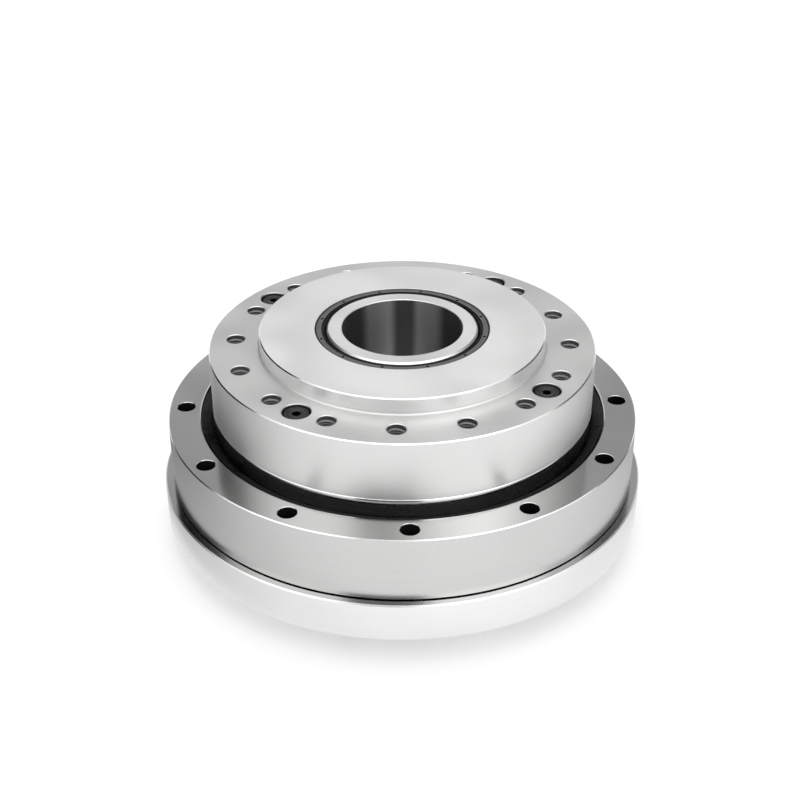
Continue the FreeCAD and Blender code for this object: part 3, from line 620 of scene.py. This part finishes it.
def make_rear_cover():
    """Rear cover, the widest step of the housing."""
    cover = turned([
        (SEAL_SEAT_R, 0),
        (COVER_R - COVER_EDGE, 0),
        (COVER_R, COVER_EDGE),
        (COVER_R, COVER_T - COVER_EDGE),
        (COVER_R - COVER_EDGE, COVER_T),
        (COVER_RECESS_R, COVER_T),
        (COVER_RECESS_R, COVER_FLOOR),
        (DIAPHRAGM_R, COVER_FLOOR),
        (DIAPHRAGM_R, COVER_RELIEF),
        (HUB_R, COVER_RELIEF),
        (HUB_R, REAR_BEARING_TOP),
        (BEARING_SEAT_R, REAR_BEARING_TOP),
        (BEARING_SEAT_R, REAR_BEARING_FOOT),
        (SEAL_SEAT_R, REAR_BEARING_FOOT),
    ])

    def mouth(x, y):
        wide, narrow = HOUSING_HOLE_R + 2 * HOUSING_HOLE_EDGE, HOUSING_HOLE_R - HOUSING_HOLE_EDGE
        return rod(wide, -HOUSING_HOLE_EDGE, 2 * HOUSING_HOLE_EDGE, (x, y), 48, narrow)

    def pocket(x, y):
        return rod(COVER_POCKET_R, -OVER, COVER_SCREW_SEAT, (x, y), 48)

    tools = [
        joined(around(housing_bore, HOUSING_HOLES, 0, HOUSING_PITCH_R)),
        joined(around(mouth, HOUSING_HOLES, 0, HOUSING_PITCH_R)),
        joined(around(cover_screw_bore, COVER_SCREWS, COVER_SCREW_FIRST, HOUSING_PITCH_R)),
        joined(around(pocket, COVER_SCREWS, COVER_SCREW_FIRST, HOUSING_PITCH_R)),
    ]
    cover = bored(cover, tools)
    ledge = 1
    dressed(cover, ledge, lambda radius, height, normal: (
        radius > COVER_RECESS_R and height > COVER_T - TOUCHING
    ))
    # Painted light: the cover takes the lighter copy of the steel, its ledge the ground steel
    finished("cover", cover, [cover_lit_steel, ground_steel], "housing", "ground_steel", "rear_cover")


def make_ring_seal():
    """Rubber seal round the output flange, with ridges on its face and moulded notches."""
    ridges = []
    radius = RUBBER_SEAT_R - RIDGE_STEP
    height = RUBBER_FACE
    while radius > RUBBER_LIP_R + 0.9:
        ridges += [
            (radius, height),
            (radius - 0.4 * RIDGE_STEP, height - 0.1),
            (radius - 0.7 * RIDGE_STEP, height - RIDGE_HEIGHT),
        ]
        radius -= RIDGE_STEP
        height -= RIDGE_FALL * RIDGE_STEP
    seal = turned([
        (RUBBER_LIP_R + 0.8, RUBBER_FOOT),
        (RUBBER_SEAT_R - TOUCHING, RUBBER_FOOT),
        (RUBBER_SEAT_R - TOUCHING, RUBBER_FACE - 0.9),
        (RUBBER_SEAT_R - 0.4, RUBBER_FACE - 0.9),
        *ridges,
        (RUBBER_LIP_R + 0.75, height),
        (RUBBER_LIP_R + 0.3, height - 0.3),
        (RUBBER_LIP_R, height - 0.8),
        (RUBBER_LIP_R + 0.8, height - 2.2),
    ])

    def notch(degrees):
        shape = bmesh.new()
        bmesh.ops.create_cube(
            shape, size=1.0,
            matrix=Matrix.Rotation(math.radians(degrees), 4, "Z")
            @ Matrix.Translation((NOTCH_R, 0, RUBBER_FACE - 0.5)) @ Matrix.Diagonal((*NOTCH_SIZE, 1)),
        )
        return shape

    seal = bored(seal, [joined([notch(degrees) for degrees in NOTCHES])])
    finished("ring_seal", seal, [black_rubber], "housing", "black_rubber", "output_seal")


def make_screws(name, size, seat, tip, head_way, pitch_r, count, first, body, cad_node):
    """Socket screws in a circle, each with a knurled head, a socket and a plain shank."""
    def screw(x, y):
        head_r, shank_r = HEAD_SHARE * size, size / 2
        top = seat + head_way * size
        edge = HEAD_EDGE_SHARE * size
        outline = [
            (0, tip), (shank_r - edge, tip), (shank_r, tip + head_way * edge), (shank_r, seat),
            (head_r, seat), (head_r, top - head_way * edge), (head_r - edge, top),
            *[(share * head_r, top - head_way * depth) for share, depth in HEAD_FACE],
        ]
        shape = turned(outline, HEAD_STEPS)
        for corner in shape.verts:
            flat = Vector((corner.co.x, corner.co.y))
            turn = round(math.degrees(math.atan2(flat.y, flat.x)) / KNURL_STEP)
            if abs(flat.length - head_r) < TOUCHING and turn % 2:
                corner.co.x *= KNURL_SHARE
                corner.co.y *= KNURL_SHARE
        socket_r = 2 * SOCKET_SHARE * size / math.sqrt(3)
        low, high = sorted((top - head_way * size * SOCKET_DEPTH_SHARE, top + head_way * OVER))
        socket = rod(socket_r, low, high, (0, 0), 6)
        shape = bored(shape, [socket])
        bmesh.ops.translate(shape, vec=(x, y, 0), verts=shape.verts)
        return shape

    screws = joined(around(screw, count, first, pitch_r))
    finished(name, screws, [black_oxide], body, "black_oxide_steel", cad_node)


# Pieces of the output

def make_output_flange():
    """Output flange with its boss, threaded holes and counterbores."""
    fillet = []
    for k in range(FILLET_STEPS + 1):
        turn = math.pi / 2 * k / FILLET_STEPS
        out, rise = BOSS_FILLET * (1 - math.sin(turn)), BOSS_FILLET * (1 - math.cos(turn))
        fillet.append((BOSS_R + out, OUTPUT_FACE + rise))
    flange = turned([
        (SEAL_SEAT_R, FRONT_BEARING_TOP),
        (BEARING_SEAT_R, FRONT_BEARING_TOP),
        (BEARING_SEAT_R, WEB_FOOT),
        (HUB_BORE_R, WEB_FOOT),
        (HUB_BORE_R, SPLINE_TOP),
        (SKIRT_R, SPLINE_TOP),
        (SKIRT_R, SPLINE_FOOT),
        (OUTPUT_R, SPLINE_FOOT),
        (OUTPUT_R, TRACK_TOP),
        (OUTPUT_R - TRACK_GROOVE, TRACK_TOP + TRACK_GROOVE),
        (OUTPUT_R, TRACK_TOP + 2 * TRACK_GROOVE),
        (OUTPUT_R, OUTPUT_FACE - OUTPUT_EDGE),
        (OUTPUT_R - OUTPUT_EDGE, OUTPUT_FACE),
        *fillet,
        (BOSS_R, BOSS_TOP - BOSS_EDGE),
        (BOSS_R - BOSS_EDGE, BOSS_TOP),
        (SEAL_SEAT_R + BOSS_BORE_EDGE, BOSS_TOP),
        (SEAL_SEAT_R, BOSS_TOP - BOSS_BORE_EDGE),
    ])

    def thread_bore(x, y):
        return rod(THREAD_R, THREAD_FLOOR, OUTPUT_FACE + OVER, (x, y), 40)

    def thread_mouth(x, y):
        rise = 0.2
        slope = (THREAD_MOUTH_R - THREAD_CORE_R) / THREAD_MOUTH_DEPTH
        foot, top = OUTPUT_FACE - THREAD_MOUTH_DEPTH, OUTPUT_FACE + rise
        return rod(THREAD_CORE_R, foot, top, (x, y), 40, THREAD_MOUTH_R + rise * slope)

    def counterbore(x, y):
        return rod(COUNTERBORE_R, COUNTERBORE_FLOOR, OUTPUT_FACE + OVER, (x, y), 64)

    def counterbore_mouth(x, y):
        foot, top = OUTPUT_FACE - 2 * COUNTERBORE_EDGE, OUTPUT_FACE + COUNTERBORE_EDGE
        wide, narrow = COUNTERBORE_R + 2 * COUNTERBORE_EDGE, COUNTERBORE_R - COUNTERBORE_EDGE
        return rod(narrow, foot, top, (x, y), 64, wide)

    def screw_bore(x, y):
        return rod(SCREW_HOLE_R, SPLINE_TOP - OVER, COUNTERBORE_FLOOR + OVER, (x, y), 32)

    tools = [
        joined(around(thread_bore, THREADS, THREAD_FIRST, OUTPUT_PITCH_R)),
        joined(around(thread_mouth, THREADS, THREAD_FIRST, OUTPUT_PITCH_R)),
        joined(around(counterbore, SCREWS, SCREW_FIRST, OUTPUT_PITCH_R)),
        joined(around(counterbore_mouth, SCREWS, SCREW_FIRST, OUTPUT_PITCH_R)),
        joined(around(screw_bore, SCREWS, SCREW_FIRST, OUTPUT_PITCH_R)),
    ]
    flange = bored(flange, tools)
    face, wall, hole, track, edge, thread_hole, lit_boss_wall = range(1, 8)
    # Painted shade: the face round the boss takes the darker copy of the steel
    dressed(flange, face, lambda radius, height, normal: radius > BOSS_R + BOSS_FILLET / 2)
    dressed(flange, wall, lambda radius, height, normal: radius > OUTPUT_R - 1 and abs(normal.z) < 0.8)
    # Painted shade: the counterbores and the upper walls of the holes take the dark hole steel
    dressed(flange, hole, lambda radius, height, normal: (
        abs(radius - OUTPUT_PITCH_R) < COUNTERBORE_R + 1 and height < OUTPUT_FACE - 2 * OUTPUT_EDGE
    ))
    dressed(flange, track, lambda radius, height, normal: (
        radius > OUTPUT_R - NEAR and height < TRACK_TOP
    ))
    # Painted shade: the threaded holes' walls take the darker thread steel
    dressed(flange, thread_hole, lambda radius, height, normal: (
        abs(radius - OUTPUT_PITCH_R) < THREAD_MOUTH_R and height < COUNTERBORE_FLOOR - NEAR
    ))
    # Painted highlight: the break of the flange's top edge takes the brighter steel
    dressed(flange, edge, lambda radius, height, normal: (
        radius > OUTPUT_R - OUTPUT_EDGE and sloped(normal)
    ))
    # Painted light: the boss's side takes the lighter copy of its steel
    dressed(flange, lit_boss_wall, lambda radius, height, normal: (
        abs(radius - BOSS_R) < 2 * TOUCHING and height > OUTPUT_FACE + BOSS_FILLET and upright(normal)
    ))
    # Painted highlight: the break of the boss's top edge takes the brighter steel
    dressed(flange, edge, lambda radius, height, normal: (
        BOSS_R - BOSS_EDGE < radius < BOSS_R and height > BOSS_TOP - BOSS_EDGE and sloped(normal)
    ))
    finished(
        "flange", flange,
        [
            boss_steel, face_shade_steel, flange_steel, hole_shade_steel,
            track_steel, edge_glint_steel, thread_shade_steel, boss_side_lit_steel,
        ],
        "output", "ground_steel", "output_flange",
    )

    def thread(x, y):
        base_r, top = THREAD_R + THREAD_RIDGE_BITE, OUTPUT_FACE - THREAD_MOUTH_DEPTH
        return helix(base_r, THREAD_CORE_R, THREAD_PITCH, THREAD_FLOOR, top, (x, y))

    threads = joined(around(thread, THREADS, THREAD_FIRST, OUTPUT_PITCH_R))
    # Painted shade: the thread ridges take the dark thread steel
    finished("output_threads", threads, [thread_shade_steel], "output", "ground_steel")


def make_shaft_seal(name, foot, face, body, cad_node):
    """Lip seal of the input shaft: a grey band with dimples round a black lip."""
    way = 1 if face > foot else -1
    seal = turned([
        (SHAFT_LIP_R + 1, foot),
        (SHAFT_SEAL_R, foot),
        (SHAFT_SEAL_R, face - way * 0.7),
        (SHAFT_SEAL_R - 0.4, face - way * 0.7),
        (SHAFT_SEAL_R - 0.45, face),
        (SHAFT_SEAL_BAND_R, face),
        (SHAFT_SEAL_BAND_R - 0.1, face - way * 0.5),
        (SHAFT_SEAL_BAND_R - 0.3, face - way * 0.5),
        (SHAFT_SEAL_BAND_R - 0.4, face - way * 0.15),
        (SHAFT_SEAL_BAND_R - 0.6, face - way * 0.15),
        (SHAFT_LIP_R + 0.25, face - way * 0.9),
        (SHAFT_LIP_R, face - way * 1.5),
        (SHAFT_LIP_R + 1, face - way * 2.6),
    ])

    def dimple(x, y):
        low, high = sorted((face - way * 0.5, face + way * 0.5))
        return rod(SEAL_DIMPLE_R, low, high, (x, y), 12)

    seal = bored(seal, [joined(around(dimple, SEAL_DIMPLES, SEAL_DIMPLE_FIRST, SEAL_DIMPLE_PITCH_R))])
    band = 1
    dressed(seal, band, lambda radius, height, normal: (
        radius > SHAFT_SEAL_BAND_R - NEAR / 2 and abs(height - face) < TOUCHING
    ))
    finished(name, seal, [black_rubber, grey_rubber], body, "black_rubber", cad_node)


# Input

def make_hollow_shaft():
    """Hollow input shaft with its cam, and the threads in its tail."""
    shaft = turned([
        (BORE_R, SHAFT_TAIL + BORE_EDGE),
        (BORE_R + BORE_EDGE, SHAFT_TAIL),
        (JOURNAL_R - SHAFT_EDGE, SHAFT_TAIL),
        (JOURNAL_R, SHAFT_TAIL + SHAFT_EDGE),
        (JOURNAL_R, SHOULDER_FOOT),
        (SHOULDER_R, SHOULDER_FOOT),
        (SHOULDER_R, CAM_FOOT),
        (CAM_R, CAM_FOOT),
        (CAM_R, CAM_TOP),
        (SHOULDER_R, CAM_TOP),
        (SHOULDER_R, SHOULDER_TOP),
        (JOURNAL_R, SHOULDER_TOP),
        (JOURNAL_R, BOSS_TOP - SHAFT_EDGE),
        (JOURNAL_R - SHAFT_EDGE, BOSS_TOP),
        (BORE_R + BORE_EDGE, BOSS_TOP),
        (BORE_R, BOSS_TOP - BORE_EDGE),
    ])
    for corner in shaft.verts:
        radius = math.hypot(corner.co.x, corner.co.y)
        if radius > CAM_R - NEAR:
            lift = 1 + CAM_WAVE / CAM_R * math.cos(2 * math.atan2(corner.co.y, corner.co.x))
            corner.co.x *= lift
            corner.co.y *= lift

    def tail_bore(x, y):
        return rod(INPUT_THREAD_R, SHAFT_TAIL - OVER, SHAFT_TAIL + INPUT_THREAD_DEPTH, (x, y), 24)

    tail_pitch_r = (BORE_R + JOURNAL_R) / 2
    shaft = bored(shaft, [joined(around(tail_bore, INPUT_THREADS, 0, tail_pitch_r))])
    bore = 1
    # Painted reflections: the bore takes the banded steel
    dressed(shaft, bore, lambda radius, height, normal: radius < BORE_R + NEAR / 2 and upright(normal))
    finished(
        "input_shaft", shaft, [shaft_steel, bore_reflection_steel],
        "input_shaft", "shaft_steel", "hollow_shaft",
    )


make_outer_ring()
make_rear_cover()
make_screws(
    "cover_socket_screws", COVER_SCREW_SIZE, COVER_SCREW_SEAT, COVER_SCREW_TIP, -1,
    HOUSING_PITCH_R, COVER_SCREWS, COVER_SCREW_FIRST, "housing", "cover_screws",
)
make_ring_seal()
make_output_flange()
make_screws(
    "output_socket_screws", OUTPUT_SCREW_SIZE, COUNTERBORE_FLOOR, OUTPUT_SCREW_TIP, 1,
    OUTPUT_PITCH_R, SCREWS, SCREW_FIRST, "output", "output_screws",
)
make_shaft_seal("output_shaft_seal", SHAFT_SEAL_FOOT, SHAFT_SEAL_FACE, "output", "front_shaft_seal")
make_shaft_seal("cover_shaft_seal", REAR_SEAL_TOP, REAR_SEAL_FACE, "housing", "rear_shaft_seal")
make_hollow_shaft()
